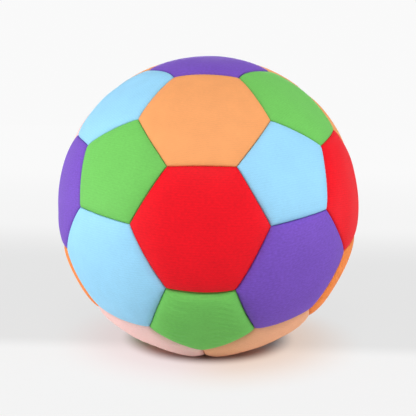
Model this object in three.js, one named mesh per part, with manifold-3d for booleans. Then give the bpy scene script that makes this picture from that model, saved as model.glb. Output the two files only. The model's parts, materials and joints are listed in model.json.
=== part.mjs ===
// Indoor soccer ball: 32 padded knit panels, sewn edge to edge over an air-filled rubber bladder.
//
// Millimetres, +Z up. The ball stands on the floor, and the origin is the middle of its contact patch.
// One hexagon faces -Y and stands upright, with a pentagon below it and another hexagon above it.
//
// The cover is a truncated icosahedron blown up to a sphere. Every seam lies in a plane through the
// ball's middle, so a point of a panel is given by two numbers: its radius from the ball's middle, and
// its inset, which is how far it stands off the seam plane of the nearest side. A panel, the thread
// network and each bulge of the bladder are all profiles of inset and radius, carried round the outline.

import * as THREE from 'three';
import { mergeVertices } from 'three/addons/utils/BufferGeometryUtils.js';
import Module from 'manifold-3d';

// Cover
const BALL_DIAMETER = 216;
const PANEL_CROWN = 0.6;
const LAMINATE_THICKNESS = 3;
const SEAM_GAP = 0.3;
const ALLOWANCE_DEPTH = 5;
const ALLOWANCE_SPLAY = 1.6;
const CONTACT_FLAT_DEPTH = 0.5;

// Thread
const THREAD_DIAMETER = 0.8;

// Bladder
const BLADDER_WALL = 1;

// Valve
const STEM_DIAMETER = 12;
const STEM_RECESS = 0.5;
const STEM_CHAMFER = 0.5;
const FLANGE_DIAMETER = 24;
const FLANGE_THICKNESS = 1.6;
const TUBE_DIAMETER = 10;
const TUBE_LENGTH = 14;
const RING_DIAMETER = 27;
const RING_THICKNESS = 1;
const FUNNEL_DIAMETER = 5;
const FUNNEL_DEPTH = 1.5;
const NEEDLE_HOLE_DIAMETER = 2.2;
const CORE_BORE_DIAMETER = 6.6;
const CORE_TOP_COVER = 5;
const CORE_CHAMFER = 0.7;
const CORE_PASSAGE_DIAMETER = 0.9;
const LIP_DIAMETER = 4.4;
const LIP_THICKNESS = 1.2;

// Fit between pieces that seat on each other
const CLEARANCE = 0.3;

// Facets
const STEPS_PER_SEAM = 3;
const STEPS_ROUND_VALVE = 20;

// Crown rows of a panel, as shares of the way from its seams to its middle
const MIDDLE_SHARE = 0.5;
const CROWN_SHARES = [MIDDLE_SHARE];
const STANDING_CROWN_SHARES = [0.75, MIDDLE_SHARE, 0.25];

// Worked-out radii from the ball's middle
const ballRadius = BALL_DIAMETER / 2;
const innerFaceRadius = ballRadius - LAMINATE_THICKNESS;
const bladderFaceRadius = innerFaceRadius - CLEARANCE;
const shoulderRadius = ballRadius - PANEL_CROWN;
const pinchRadius = shoulderRadius - LAMINATE_THICKNESS;
const endRadius = pinchRadius - ALLOWANCE_DEPTH;

// Worked-out insets from the seam plane
const pinchInset = SEAM_GAP / 2;
const shoulderInset = pinchInset + LAMINATE_THICKNESS;
const endInset = pinchInset + ALLOWANCE_SPLAY;

// Colours of the knit
const KNIT = {
  red: 0xee1f2e,
  orange: 0xfb9148,
  peach: 0xfbac6c,
  green: 0x78c863,
  lightBlue: 0x9bdafa,
  purple: 0x7a52c2,
  pink: 0xfad6d0,
};

// The twelve pentagons, by the corners of the icosahedron that they are cut from
const GOLDEN = (1 + Math.sqrt(5)) / 2;
const PENTAGONS = {
  front_left: { corner: [-1, -GOLDEN, 0], colour: 'green' },
  front_right: { corner: [1, -GOLDEN, 0], colour: 'lightBlue' },
  front_low: { corner: [0, -1, -GOLDEN], colour: 'green' },
  top: { corner: [0, -1, GOLDEN], colour: 'purple' },
  high_left: { corner: [-GOLDEN, 0, 1], colour: 'pink' },
  high_right: { corner: [GOLDEN, 0, 1], colour: 'peach' },
  left: { corner: [-GOLDEN, 0, -1], colour: 'orange' },
  right: { corner: [GOLDEN, 0, -1], colour: 'orange' },
  base: { corner: [0, 1, -GOLDEN], colour: 'purple' },
  back_high: { corner: [0, 1, GOLDEN], colour: 'pink' },
  back_left: { corner: [-1, GOLDEN, 0], colour: 'lightBlue' },
  back_right: { corner: [1, GOLDEN, 0], colour: 'peach' },
};

// The twenty hexagons, each by the three pentagons that it touches
const HEXAGONS = {
  front: { between: ['front_left', 'front_right', 'front_low'], colour: 'red' },
  front_high: { between: ['front_left', 'front_right', 'top'], colour: 'peach' },
  high_left: { between: ['front_left', 'top', 'high_left'], colour: 'lightBlue' },
  high_right: { between: ['front_right', 'top', 'high_right'], colour: 'green' },
  left: { between: ['front_left', 'high_left', 'left'], colour: 'purple' },
  right: { between: ['front_right', 'high_right', 'right'], colour: 'red' },
  front_low_left: { between: ['front_left', 'front_low', 'left'], colour: 'lightBlue' },
  front_low_right: { between: ['front_right', 'front_low', 'right'], colour: 'purple' },
  base_left: { between: ['front_low', 'left', 'base'], colour: 'pink' },
  base_right: { between: ['front_low', 'right', 'base'], colour: 'peach' },
  back_top_left: { between: ['top', 'high_left', 'back_high'], colour: 'peach' },
  back_top_right: { between: ['top', 'high_right', 'back_high'], colour: 'peach' },
  back_high_left: { between: ['high_left', 'back_high', 'back_left'], colour: 'green' },
  back_high_right: { between: ['high_right', 'back_high', 'back_right'], colour: 'purple' },
  rear_left: { between: ['high_left', 'left', 'back_left'], colour: 'red' },
  rear_right: { between: ['high_right', 'right', 'back_right'], colour: 'green' },
  back: { between: ['back_high', 'back_left', 'back_right'], colour: 'orange' },
  base_back_left: { between: ['left', 'base', 'back_left'], colour: 'green' },
  base_back_right: { between: ['right', 'base', 'back_right'], colour: 'lightBlue' },
  base_back: { between: ['base', 'back_left', 'back_right'], colour: 'red' },
};
const VALVE_HEXAGON = 'back';
const STANDING_PENTAGON = 'base';

// The pattern leans about X until the front hexagon is upright
const UPRIGHT = new THREE.Quaternion().setFromAxisAngle(
  new THREE.Vector3(1, 0, 0),
  -Math.atan(1 / GOLDEN ** 2),
);

function pentagonAxis(name) {
  return new THREE.Vector3(...PENTAGONS[name].corner).normalize().applyQuaternion(UPRIGHT);
}

function hexagonAxis(name) {
  const axis = new THREE.Vector3();
  for (const pentagon of HEXAGONS[name].between) {
    axis.add(pentagonAxis(pentagon));
  }
  return axis.normalize();
}

// A turn that carries +Z to the panel's axis and +X towards the middle of one side
function panelTurn(axis, sideward) {
  const side = sideward.clone().addScaledVector(axis, -sideward.dot(axis)).normalize();
  const along = new THREE.Vector3().crossVectors(axis, side);
  const basis = new THREE.Matrix4().makeBasis(side, along, axis);
  return new THREE.Quaternion().setFromRotationMatrix(basis);
}

function hexagonTurn(name) {
  return panelTurn(hexagonAxis(name), pentagonAxis(HEXAGONS[name].between[0]));
}

function pentagonTurn(name) {
  const neighbour = Object.keys(HEXAGONS).find((key) => HEXAGONS[key].between.includes(name));
  return panelTurn(pentagonAxis(name), hexagonAxis(neighbour));
}

// The two outlines. reach is the angle from a panel's axis to the middle of a side.
const hexagonReach = hexagonAxis('front').angleTo(hexagonAxis('front_high')) / 2;
const pentagonReach = hexagonAxis('front').angleTo(pentagonAxis('front_low')) - hexagonReach;
const HEXAGON = { sides: 6, reach: hexagonReach };
const PENTAGON = { sides: 5, reach: pentagonReach };

// One row of points round a panel, all at one inset from their seam plane and at one radius.
// A side's points lie on a circle in a plane that is parallel to the seam plane, and the corner is
// where that circle meets the next side's.
function outlineRow({ sides, reach }, inset, radius) {
  const spread = Math.tan(Math.PI / sides);
  const circle = Math.sqrt(radius ** 2 - inset ** 2);
  const lean = spread * Math.sin(reach);
  const pull = (spread * Math.cos(reach) * inset) / circle / Math.hypot(1, lean);
  const corner = Math.atan(lean) - Math.asin(pull);
  const row = [];
  for (let side = 0; side < sides; side += 1) {
    for (let step = 0; step < STEPS_PER_SEAM; step += 1) {
      const angle = corner * ((2 * step) / STEPS_PER_SEAM - 1);
      const outward = circle * Math.sin(reach) * Math.cos(angle) - inset * Math.cos(reach);
      const up = circle * Math.cos(reach) * Math.cos(angle) + inset * Math.sin(reach);
      const point = new THREE.Vector3(outward, circle * Math.sin(angle), up);
      row.push(point.applyAxisAngle(new THREE.Vector3(0, 0, 1), (side * 2 * Math.PI) / sides));
    }
  }
  return row;
}

// A round row with as many points as the panel's outline, for the edge of the valve hole
function roundRow({ sides }, radius, height) {
  const count = sides * STEPS_PER_SEAM;
  const row = [];
  for (let step = 0; step < count; step += 1) {
    const angle = (step * 2 * Math.PI) / count - Math.PI / sides;
    row.push(new THREE.Vector3(radius * Math.cos(angle), radius * Math.sin(angle), height));
  }
  return row;
}

// The row at a share of the way from a panel's seams to its middle
function shareRow(outline, share, radius) {
  return outlineRow(outline, share * radius * Math.sin(outline.reach), radius);
}

function middleRow(outline, radius) {
  return shareRow(outline, MIDDLE_SHARE, radius);
}

function axisPoint(height) {
  return [new THREE.Vector3(0, 0, height)];
}

// Triangles between rows that follow each other; a row of one point closes to a fan
function skin(rows) {
  const triangles = [];
  for (let index = 0; index + 1 < rows.length; index += 1) {
    const near = rows[index];
    const far = rows[index + 1];
    const count = Math.max(near.length, far.length);
    for (let step = 0; step < count; step += 1) {
      const next = (step + 1) % count;
      if (far.length > 1) {
        triangles.push([near[step % near.length], far[step], far[next]]);
      }
      if (near.length > 1) {
        triangles.push([near[step], far[next % far.length], near[next]]);
      }
    }
  }
  return triangles;
}

function toGeometry(triangles) {
  const soup = new THREE.BufferGeometry().setFromPoints(triangles.flat());
  const geometry = mergeVertices(soup, 1e-4);
  geometry.computeVertexNormals();
  return geometry;
}

// How far a panel's face stands from the ball's middle: full at its axis, lower at its shoulders
function crownedRadius(share) {
  return ballRadius - PANEL_CROWN * (1 - share) ** 2;
}

// Rows of one panel, from the middle of its face over the rolled shoulder, down the turned-in edge
// and back along the inner face
function panelRows(outline, crownShares) {
  const roll = LAMINATE_THICKNESS * (1 - Math.SQRT1_2);
  return [
    ...crownShares.map((share) => shareRow(outline, share, crownedRadius(share))),
    outlineRow(outline, shoulderInset, shoulderRadius),
    outlineRow(outline, pinchInset + roll, shoulderRadius - roll),
    outlineRow(outline, pinchInset, pinchRadius),
    outlineRow(outline, endInset, endRadius),
    outlineRow(outline, endInset + LAMINATE_THICKNESS, endRadius),
    outlineRow(outline, shoulderInset, pinchRadius),
    middleRow(outline, crownedRadius(MIDDLE_SHARE) - LAMINATE_THICKNESS),
  ];
}

function panelGeometry(outline, crownShares) {
  const rows = panelRows(outline, crownShares);
  return toGeometry(skin([axisPoint(ballRadius), ...rows, axisPoint(innerFaceRadius)]));
}

// Valve stack, as radii and heights along the valve hexagon's axis. Ring, flange and bladder seat are
// dished alike: they follow the slope of the cover's inner face from the hole to the middle row.
const stemRadius = STEM_DIAMETER / 2;
const flangeRadius = FLANGE_DIAMETER / 2;
const tubeRadius = TUBE_DIAMETER / 2;
const ringRadius = RING_DIAMETER / 2;
const facetGrowth = 1 / Math.cos(Math.PI / (HEXAGON.sides * STEPS_PER_SEAM));
const coverHoleRadius = (stemRadius + CLEARANCE) * facetGrowth;
const bladderHoleRadius = (tubeRadius + CLEARANCE) * facetGrowth;
const bladderSeatRadius = (ringRadius + CLEARANCE) * facetGrowth;
const coverHoleTop = Math.sqrt(ballRadius ** 2 - coverHoleRadius ** 2);
const coverHoleBottom = coverHoleTop - LAMINATE_THICKNESS;
const innerCorner = middleRow(HEXAGON, crownedRadius(MIDDLE_SHARE) - LAMINATE_THICKNESS)[0];
const innerCornerReach = Math.hypot(innerCorner.x, innerCorner.y);
const dishSlope = (coverHoleBottom - innerCorner.z) / (innerCornerReach - coverHoleRadius);

// Height of a dished face at a radius, a given depth below the cover's inner face
function dish(radius, depth) {
  return coverHoleBottom - depth - dishSlope * (radius - coverHoleRadius);
}
const ringTopDepth = CLEARANCE;
const flangeTopDepth = ringTopDepth + RING_THICKNESS + CLEARANCE;
const flangeBottomDepth = flangeTopDepth + FLANGE_THICKNESS;
const seatDepth = flangeBottomDepth + CLEARANCE;

function valvePanelGeometry() {
  const top = roundRow(HEXAGON, coverHoleRadius, coverHoleTop);
  const bottom = roundRow(HEXAGON, coverHoleRadius, coverHoleBottom);
  return toGeometry(skin([top, ...panelRows(HEXAGON, CROWN_SHARES), bottom, top]));
}

// The thread network: where the turned-in edges open away from each other, the thread stands
// CLEARANCE off both of them, all round every panel
function threadGeometry(turns) {
  const halfWidth = THREAD_DIAMETER / 2;
  const opening = halfWidth + CLEARANCE - pinchInset;
  const radius = pinchRadius - (opening * ALLOWANCE_DEPTH) / ALLOWANCE_SPLAY;
  const triangles = [];
  for (const { outline, turn } of turns) {
    const band = skin([
      outlineRow(outline, 0, radius - halfWidth),
      outlineRow(outline, halfWidth, radius),
      outlineRow(outline, 0, radius + halfWidth),
    ]);
    triangles.push(...turned(band, turn));
  }
  return toGeometry(triangles);
}

function turned(triangles, turn) {
  return triangles.map((corners) => corners.map((point) => point.clone().applyQuaternion(turn)));
}

// How far out the bladder can come under a seam, when it spans from a panel's middle row and passes
// the end of the turned-in edge
function valleyRadius(outline) {
  const middleInset = MIDDLE_SHARE * bladderFaceRadius * Math.sin(outline.reach);
  const share = (endInset + LAMINATE_THICKNESS) / middleInset;
  return (endRadius - 2 * CLEARANCE - bladderFaceRadius * share) / (1 - share);
}

// The bladder: it presses into each panel's hollow and dips under every seam. In the valve hexagon
// it has a dished seat for the valve's flange, with a hole that joins its outer and inner faces.
function bladderGeometry(turns) {
  const valley = Math.min(valleyRadius(HEXAGON), valleyRadius(PENTAGON));
  const middleRadius = crownedRadius(MIDDLE_SHARE) - LAMINATE_THICKNESS - CLEARANCE;
  const triangles = [];
  for (const { outline, turn, hasValve } of turns) {
    const outer = [middleRow(outline, middleRadius), outlineRow(outline, 0, valley)];
    const inner = [
      outlineRow(outline, 0, valley - BLADDER_WALL),
      middleRow(outline, middleRadius - BLADDER_WALL),
    ];
    if (hasValve) {
      const seat = dish(bladderSeatRadius, seatDepth);
      const hole = dish(bladderHoleRadius, seatDepth);
      const wall = skin([
        ...inner,
        roundRow(outline, bladderSeatRadius, seat - BLADDER_WALL),
        roundRow(outline, bladderHoleRadius, hole - BLADDER_WALL),
        roundRow(outline, bladderHoleRadius, hole),
        roundRow(outline, bladderSeatRadius, seat),
        ...outer,
      ]);
      triangles.push(...turned(wall, turn));
    } else {
      triangles.push(...turned(skin([axisPoint(bladderFaceRadius), ...outer]), turn));
      triangles.push(...turned(skin([...inner, axisPoint(bladderFaceRadius - BLADDER_WALL)]), turn));
    }
  }
  return toGeometry(triangles);
}

// A ring-shaped solid, from a closed profile of radius and height along +Z
function latheSolid(profile) {
  const points = [...profile, profile[0]].map(([radius, height]) => new THREE.Vector2(radius, height));
  return new THREE.LatheGeometry(points, STEPS_ROUND_VALVE).rotateX(Math.PI / 2);
}

const stemTop = Math.sqrt(ballRadius ** 2 - stemRadius ** 2) - STEM_RECESS;
const tubeEnd = dish(tubeRadius, flangeBottomDepth) - TUBE_LENGTH;
const coreTop = stemTop - CORE_TOP_COVER;
const coreBottom = tubeEnd + LIP_THICKNESS + CLEARANCE;

function valveRingGeometry() {
  const bore = stemRadius + CLEARANCE;
  return latheSolid([
    [bore, dish(bore, ringTopDepth + RING_THICKNESS)],
    [ringRadius, dish(ringRadius, ringTopDepth + RING_THICKNESS)],
    [ringRadius, dish(ringRadius, ringTopDepth)],
    [bore, dish(bore, ringTopDepth)],
  ]);
}

// The housing: a stem that stands through the cover, a flange under it, and a tube that holds the core
function valveHousingGeometry() {
  const boreRadius = CORE_BORE_DIAMETER / 2;
  const needleRadius = NEEDLE_HOLE_DIAMETER / 2;
  const lipRadius = LIP_DIAMETER / 2;
  return latheSolid([
    [lipRadius, tubeEnd],
    [tubeRadius, tubeEnd],
    [tubeRadius, dish(tubeRadius, flangeBottomDepth)],
    [flangeRadius, dish(flangeRadius, flangeBottomDepth)],
    [flangeRadius, dish(flangeRadius, flangeTopDepth)],
    [stemRadius, dish(stemRadius, flangeTopDepth)],
    [stemRadius, stemTop - STEM_CHAMFER],
    [stemRadius - STEM_CHAMFER, stemTop],
    [FUNNEL_DIAMETER / 2, stemTop],
    [needleRadius, stemTop - FUNNEL_DEPTH],
    [needleRadius, coreTop + CLEARANCE],
    [boreRadius, coreTop + CLEARANCE],
    [boreRadius, tubeEnd + LIP_THICKNESS],
    [lipRadius, tubeEnd + LIP_THICKNESS],
  ]);
}

// The core: a barrel of soft rubber with a needle passage, kept in by the housing's lip
function valveCoreGeometry() {
  const radius = CORE_BORE_DIAMETER / 2 - CLEARANCE;
  const passage = CORE_PASSAGE_DIAMETER / 2;
  return latheSolid([
    [passage, coreBottom],
    [radius - CORE_CHAMFER, coreBottom],
    [radius, coreBottom + CORE_CHAMFER],
    [radius, coreTop - CORE_CHAMFER],
    [radius - CORE_CHAMFER, coreTop],
    [passage, coreTop],
  ]);
}

const manifold = await Module();
manifold.setup();

function toManifold(geometry) {
  const bare = new THREE.BufferGeometry();
  bare.setAttribute('position', geometry.getAttribute('position').clone());
  bare.setIndex(geometry.getIndex());
  const merged = mergeVertices(bare, 1e-4);
  const mesh = new manifold.Mesh({
    numProp: 3,
    vertProperties: new Float32Array(merged.getAttribute('position').array),
    triVerts: new Uint32Array(merged.getIndex().array),
  });
  return new manifold.Manifold(mesh);
}

function fromManifold(solid) {
  const mesh = solid.getMesh();
  const geometry = new THREE.BufferGeometry();
  geometry.setAttribute('position', new THREE.BufferAttribute(mesh.vertProperties, 3));
  geometry.setIndex(new THREE.BufferAttribute(mesh.triVerts, 1));
  geometry.computeVertexNormals();
  return geometry;
}

// How high the ball's middle stands once the lowest point of the standing panel is pressed flat
function standingHeight(geometry, turn) {
  const position = geometry.getAttribute('position');
  let lowest = 0;
  for (let index = 0; index < position.count; index += 1) {
    const point = new THREE.Vector3().fromBufferAttribute(position, index).applyQuaternion(turn);
    lowest = Math.min(lowest, point.z);
  }
  return -lowest - CONTACT_FLAT_DEPTH;
}

// The standing panel, cut flat along the floor
function standingPanelGeometry(geometry, turn, height) {
  const floor = new THREE.BoxGeometry(ballRadius, ballRadius, ballRadius);
  floor.translate(0, 0, -height - ballRadius / 2);
  floor.applyQuaternion(turn.clone().invert());
  return fromManifold(toManifold(geometry).subtract(toManifold(floor)));
}

function knit(colour) {
  return new THREE.MeshStandardMaterial({ color: KNIT[colour], roughness: 0.85, metalness: 0 });
}

function rubber(colour) {
  return new THREE.MeshStandardMaterial({ color: colour, roughness: 0.6, metalness: 0 });
}

function namedMesh(name, geometry, material, turn) {
  const mesh = new THREE.Mesh(geometry, material);
  mesh.name = name;
  mesh.quaternion.copy(turn);
  return mesh;
}

function buildBall() {
  const hexagonGeometry = panelGeometry(HEXAGON, CROWN_SHARES);
  const pentagonGeometry = panelGeometry(PENTAGON, CROWN_SHARES);
  const roundPanel = panelGeometry(PENTAGON, STANDING_CROWN_SHARES);
  const height = standingHeight(roundPanel, pentagonTurn(STANDING_PENTAGON));
  const ball = new THREE.Group();
  ball.position.z = height;
  const turns = [];

  for (const [name, { colour }] of Object.entries(HEXAGONS)) {
    const turn = hexagonTurn(name);
    const hasValve = name === VALVE_HEXAGON;
    const geometry = hasValve ? valvePanelGeometry() : hexagonGeometry;
    ball.add(namedMesh(`hexagon_${name}`, geometry, knit(colour), turn));
    turns.push({ outline: HEXAGON, turn, hasValve });
  }
  for (const [name, { colour }] of Object.entries(PENTAGONS)) {
    const turn = pentagonTurn(name);
    const stands = name === STANDING_PENTAGON;
    const geometry = stands ? standingPanelGeometry(roundPanel, turn, height) : pentagonGeometry;
    ball.add(namedMesh(`pentagon_${name}`, geometry, knit(colour), turn));
    turns.push({ outline: PENTAGON, turn, hasValve: false });
  }

  const unturned = new THREE.Quaternion();
  ball.add(namedMesh('seam_thread', threadGeometry(turns), knit('purple'), unturned));
  ball.add(namedMesh('bladder', bladderGeometry(turns), rubber(0x26262a), unturned));

  const valve = new THREE.Group();
  valve.quaternion.copy(hexagonTurn(VALVE_HEXAGON));
  valve.add(namedMesh('valve_ring', valveRingGeometry(), rubber(0x2c2c30), unturned));
  valve.add(namedMesh('valve_housing', valveHousingGeometry(), rubber(0x1d1d20), unturned));
  valve.add(namedMesh('valve_core', valveCoreGeometry(), rubber(0x8a6a42), unturned));
  ball.add(valve);
  return ball;
}

export default buildBall();
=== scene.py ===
"""Indoor soccer ball, dressed: 32 padded knit panels sewn over a bladder with a needle valve.

Metres, +Z up. The ball stands on the floor at z = 0. Its cover is a truncated icosahedron blown up to
a sphere, so every seam lies in a plane through the ball's middle. A place on a panel is a direction
from that middle, and its inset is how far it stands off a seam's plane.
"""

import json
import logging
import math
from dataclasses import dataclass
from enum import Enum
from functools import cached_property

import bmesh
import bpy
import numpy as np
from mathutils import Matrix, Vector


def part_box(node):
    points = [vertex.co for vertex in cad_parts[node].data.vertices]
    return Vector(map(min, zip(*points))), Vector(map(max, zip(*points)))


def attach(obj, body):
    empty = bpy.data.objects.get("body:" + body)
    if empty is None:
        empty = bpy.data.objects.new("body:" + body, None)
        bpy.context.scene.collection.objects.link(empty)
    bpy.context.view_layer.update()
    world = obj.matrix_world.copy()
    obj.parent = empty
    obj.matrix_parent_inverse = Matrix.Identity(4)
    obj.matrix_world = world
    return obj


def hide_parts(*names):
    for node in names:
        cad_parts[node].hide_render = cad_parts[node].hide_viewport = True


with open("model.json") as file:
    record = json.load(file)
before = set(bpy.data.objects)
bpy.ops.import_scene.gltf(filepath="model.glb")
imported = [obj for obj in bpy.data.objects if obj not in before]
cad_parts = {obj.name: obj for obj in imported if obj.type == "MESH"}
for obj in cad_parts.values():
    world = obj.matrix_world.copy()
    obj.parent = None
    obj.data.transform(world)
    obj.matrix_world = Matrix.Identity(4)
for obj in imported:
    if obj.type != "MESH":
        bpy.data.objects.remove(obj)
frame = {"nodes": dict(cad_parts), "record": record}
log = logging.getLogger("ball")

MM = 0.001
GOLDEN = (1 + math.sqrt(5)) / 2
UP = np.array([0.0, 0.0, 1.0])
IMAGE_WIDTH = 416
VALVE_NODE = "hexagon_back"


class Knit(Enum):
    """The knit colours, by their material slots."""

    RED = "knit_red"
    ORANGE = "knit_orange"
    PEACH = "knit_peach"
    GREEN = "knit_green"
    LIGHT_BLUE = "knit_light_blue"
    PURPLE = "knit_purple"
    PINK = "knit_pink"


# Small helpers for arrays and meshes

def unit(vectors: np.ndarray) -> np.ndarray:
    """Vectors of length one, along the last axis."""
    return vectors / np.linalg.norm(vectors, axis=-1, keepdims=True)


def smooth_step(value: np.ndarray) -> np.ndarray:
    """0 below 0, 1 above 1, and 3x^2 - 2x^3 in between."""
    x = np.clip(value, 0.0, 1.0)
    return x * x * (3.0 - 2.0 * x)


def mesh_points(obj: bpy.types.Object) -> np.ndarray:
    """The vertices of an object's mesh.

    Args:
        obj: the object.

    Returns:
        Rows of x, y and z.
    """
    points = np.empty(len(obj.data.vertices) * 3)
    obj.data.vertices.foreach_get("co", points)
    return points.reshape(-1, 3)


def node_points(node: str) -> np.ndarray:
    """The vertices of a CAD node."""
    return mesh_points(frame["nodes"][node])


def cone(bearings: np.ndarray, flat: float, up: float) -> np.ndarray:
    """Points round +Z at some bearings, all at one distance from the axis and one height."""
    height = np.full(len(bearings), up)
    return np.stack([flat * np.cos(bearings), flat * np.sin(bearings), height], axis=1)


def loop_strip(rows: np.ndarray) -> np.ndarray:
    """Quads between closed rows of vertex numbers.

    Args:
        rows: vertex numbers, one row for each closed loop of points.

    Returns:
        Quads, facing out where the loops turn anticlockwise and the rows go outwards, then down.
    """
    near, far = rows[:-1], rows[1:]
    quads = np.stack([near, far, np.roll(far, -1, 1), np.roll(near, -1, 1)], axis=-1)
    return quads.reshape(-1, 4)


def make_object(name: str, points: np.ndarray, polygons: list[np.ndarray]) -> bpy.types.Object:
    """An object of smooth-shaded faces, at the origin.

    Args:
        name: the object's name.
        points: its vertices.
        polygons: arrays of faces, each with faces of one number of corners.

    Returns:
        The new object, linked to the scene.
    """
    mesh = bpy.data.meshes.new(name)
    faces = [face for block in polygons for face in block.tolist()]
    mesh.from_pydata(points.tolist(), [], faces)
    mesh.update()
    mesh.polygons.foreach_set("use_smooth", np.ones(len(mesh.polygons), bool))
    obj = bpy.data.objects.new(name, mesh)
    bpy.context.scene.collection.objects.link(obj)
    return obj


def finish_piece(obj: bpy.types.Object, node: str, material: bpy.types.Material) -> None:
    """Dresses a piece, puts it on the ball's one body and lets it stand for its CAD node.

    Args:
        obj: the piece.
        node: the CAD node that it replaces, whose material slot it takes.
        material: its finish.
    """
    obj.data.materials.clear()
    obj.data.materials.append(material)
    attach(obj, "root")
    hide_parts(node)
    log.info("%s: %d faces", obj.name, len(obj.data.polygons))


# The ball and its sewing pattern

@dataclass(frozen=True)
class Ball:
    """Where the ball is and how large it is, read from the frame."""

    middle: np.ndarray
    radius: float

    @classmethod
    def from_frame(cls) -> "Ball":
        """Reads the ball off the CAD nodes.

        Returns:
            The middle of the thread's box, and the front hexagon's furthest distance from it.
        """
        low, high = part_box("seam_thread")
        middle = (np.array(low) + np.array(high)) / 2
        reach = np.linalg.norm(node_points("hexagon_front") - middle, axis=1)
        return cls(middle, float(reach.max()))


@dataclass
class Outline:
    """One of the two panel shapes, about +Z, with the middle of a side towards +X.

    A panel is cut into kites: kite k has its corners at the axis, at the middle of side k, at the
    corner between side k and the next, and at the middle of that next side.
    """

    sides: int
    reach: float

    @cached_property
    def bearings(self) -> np.ndarray:
        """The angle of each side's middle about the axis."""
        return np.arange(self.sides) * 2 * math.pi / self.sides

    @cached_property
    def middles(self) -> np.ndarray:
        """Direction of each side's middle."""
        return cone(self.bearings, math.sin(self.reach), math.cos(self.reach))

    @cached_property
    def corners(self) -> np.ndarray:
        """Direction of the corner after each side."""
        lean = math.atan(math.tan(self.reach) / math.cos(math.pi / self.sides))
        return cone(self.bearings + math.pi / self.sides, math.sin(lean), math.cos(lean))

    @cached_property
    def inward(self) -> np.ndarray:
        """Normal of each side's seam plane, towards the panel."""
        return cone(self.bearings, -math.cos(self.reach), math.sin(self.reach))

    @cached_property
    def tangents(self) -> np.ndarray:
        """Direction of each side, anticlockwise."""
        zero = np.zeros(self.sides)
        return np.stack([-np.sin(self.bearings), np.cos(self.bearings), zero], axis=1)

    @cached_property
    def half_side(self) -> float:
        """Angle from a side's middle to its corner, seen from the ball's middle."""
        return math.atan(math.tan(math.pi / self.sides) * math.sin(self.reach))

    def insets(self, directions: np.ndarray) -> np.ndarray:
        """How far unit directions stand off each seam plane."""
        return directions @ self.inward.T

    def along(self, directions: np.ndarray) -> np.ndarray:
        """Angle of unit directions from each side's middle, measured along that side."""
        return np.arctan2(directions @ self.tangents.T, directions @ self.middles.T)

    def kites(self, steps: np.ndarray) -> tuple[np.ndarray, np.ndarray, np.ndarray]:
        """A grid of quads over the whole panel.

        In each kite, point (u, v) is the direction of the four corners' mean, weighted with the
        products of u and 1 - u by v and 1 - v, so both its edges on the seams are straight seams.

        Args:
            steps: rising values of u and v, from 0 at the axis to 1 at the seams.

        Returns:
            The directions, the quads, and the vertex numbers of the outline, anticlockwise.
        """
        count = len(steps) - 1
        u = steps[1:, None, None]
        v = steps[None, :, None]
        blocks = [UP[None]]
        for side in range(self.sides):
            following = (side + 1) % self.sides
            grid = ((1 - u) * (1 - v) * UP + u * (1 - v) * self.middles[side]
                    + u * v * self.corners[side] + (1 - u) * v * self.middles[following])
            blocks.append(grid.reshape(-1, 3))
        directions = unit(np.concatenate(blocks))

        own = count * (count + 1)
        inner = np.arange(own).reshape(count, count + 1)
        quads, outline = [], []
        for side in range(self.sides):
            following = (side + 1) % self.sides
            numbers = np.zeros((count + 1, count + 1), int)
            numbers[1:] = 1 + side * own + inner
            numbers[0, 1:] = 1 + following * own + inner[:, 0]
            near, far = numbers[:-1], numbers[1:]
            block = np.stack([near[:, :-1], far[:, :-1], far[:, 1:], near[:, 1:]], axis=-1)
            quads.append(block.reshape(-1, 4))
            outline.append(np.concatenate([numbers[-1], numbers[-2:0:-1, -1]]))
        return directions, np.concatenate(quads), np.concatenate(outline)

    def outline_row(self, steps: np.ndarray, inset: float, radius: float) -> np.ndarray:
        """The outline at one inset from its seam planes and at one radius.

        A side's points lie on a circle in a plane that is parallel to the seam plane, and are drawn
        together so that its ends meet the next side's. They follow the outline of the kites' grid.

        Args:
            steps: the same steps as the kites'.
            inset: how far the row stands off the seam planes.
            radius: how far it stands from the ball's middle.

        Returns:
            The row's points, anticlockwise from the middle of side 0.
        """
        half = self.half_side
        share = np.arctan2(steps * math.sin(half), 1 - steps + steps * math.cos(half)) / half
        circle = math.sqrt(radius ** 2 - inset ** 2)
        lean = math.tan(half)
        pull = math.tan(math.pi / self.sides) * math.cos(self.reach) * inset / circle
        corner = math.atan(lean) - math.asin(pull / math.hypot(1, lean))
        rows = []
        for side in range(self.sides):
            following = (side + 1) % self.sides
            ahead = self.side_points(side, share * corner, circle, inset)
            behind = self.side_points(following, -share[-2:0:-1] * corner, circle, inset)
            rows += [ahead, behind]
        return np.concatenate(rows)

    def side_points(self, side: int, angles: np.ndarray, circle: float, inset: float) -> np.ndarray:
        """Points on the circle that lies beside one side.

        Args:
            side: the side's number.
            angles: the points' angles from the side's middle.
            circle: the circle's radius.
            inset: how far its plane stands off the seam plane.

        Returns:
            The points.
        """
        outward = np.cos(angles)[:, None] * self.middles[side]
        ahead = np.sin(angles)[:, None] * self.tangents[side]
        return circle * (outward + ahead) + inset * self.inward[side]


@dataclass(frozen=True)
class Place:
    """Where one panel sits: its outline and the turn that carries +Z to the panel's axis."""

    outline: Outline
    turn: np.ndarray

    def local(self, node: str, ball: Ball) -> np.ndarray:
        """The points of a CAD node from the ball's middle, with the panel's axis as +Z."""
        return (node_points(node) - ball.middle) @ self.turn


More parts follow.
